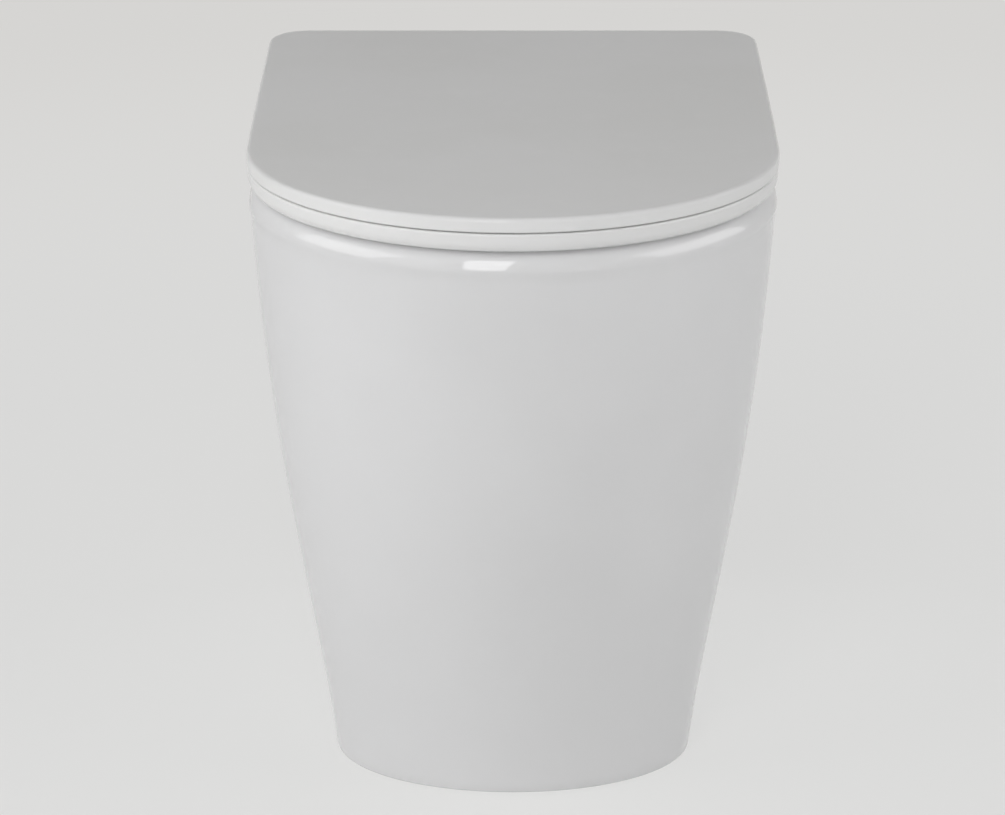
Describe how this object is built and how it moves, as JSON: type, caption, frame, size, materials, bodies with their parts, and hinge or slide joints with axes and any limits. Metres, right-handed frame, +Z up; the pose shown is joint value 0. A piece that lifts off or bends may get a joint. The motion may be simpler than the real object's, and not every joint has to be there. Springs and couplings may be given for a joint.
{
  "type": "toilet",
  "caption": "Floor-standing back-to-wall toilet: a skirted glazed pan that narrows to its foot, with a slim D-shaped soft-close seat and lid.",
  "frame": {"origin": "on the floor, under the middle of the bounding box", "axes": "+Z up, -Y towards the user, +Y towards the wall"},
  "size_m": [0.36, 0.48, 0.442],
  "materials": {
    "glaze": "white vitreous china with a clear gloss glaze",
    "seat_white": "white thermoset resin, smooth, slightly satin on the flats",
    "white_cap": "white gloss moulding",
    "nylon": "natural moulded nylon",
    "rubber": "black moulded rubber",
    "buffer": "pale soft rubber",
    "stainless": "plain stainless steel",
    "chrome": "polished chromium plate",
    "damper_plastic": "grey moulded plastic"
  },
  "bodies": {
    "pan": {"pan": "glaze", "inlet_seal": "rubber", "floor_bracket_left": "nylon", "floor_bracket_right": "nylon", "side_screws": "stainless", "side_cap_left": "white_cap", "side_cap_right": "white_cap", "fixing_studs": "stainless", "fixing_washers": "stainless", "expansion_sleeves": "rubber", "fixing_nuts": "stainless", "hinge_base_left": "chrome", "hinge_base_right": "chrome", "hinge_barrel_left": "chrome", "hinge_barrel_right": "chrome", "hinge_pins": "stainless", "lid_damper": "damper_plastic", "seat_damper": "damper_plastic"},
    "seat": {"seat_ring": "seat_white", "seat_buffers": "buffer", "seat_damper_shaft": "stainless"},
    "lid": {"lid": "seat_white", "lid_buffers": "buffer", "lid_damper_shaft": "stainless"},
    "button_left": {"release_button_left": "chrome"},
    "button_right": {"release_button_right": "chrome"}
  },
  "joints": [
    {"name": "seat_hinge", "type": "hinge", "parent": "pan", "child": "seat", "pos_m": [0, 0.206, 0.431], "axis": [-1, 0, 0], "range_deg": [0, 92.5]},
    {"name": "lid_hinge", "type": "hinge", "parent": "seat", "child": "lid", "pos_m": [0, 0.206, 0.431], "axis": [-1, 0, 0], "range_deg": [0, 92.5]},
    {"name": "button_left_press", "type": "slide", "parent": "pan", "child": "button_left", "axis": [0, 0, -1], "range_m": [0, 0.0015], "stiffness_N_per_m": 600, "springref_m": -0.001},
    {"name": "button_right_press", "type": "slide", "parent": "pan", "child": "button_right", "axis": [0, 0, -1], "range_m": [0, 0.0015], "stiffness_N_per_m": 600, "springref_m": -0.001}
  ]
}
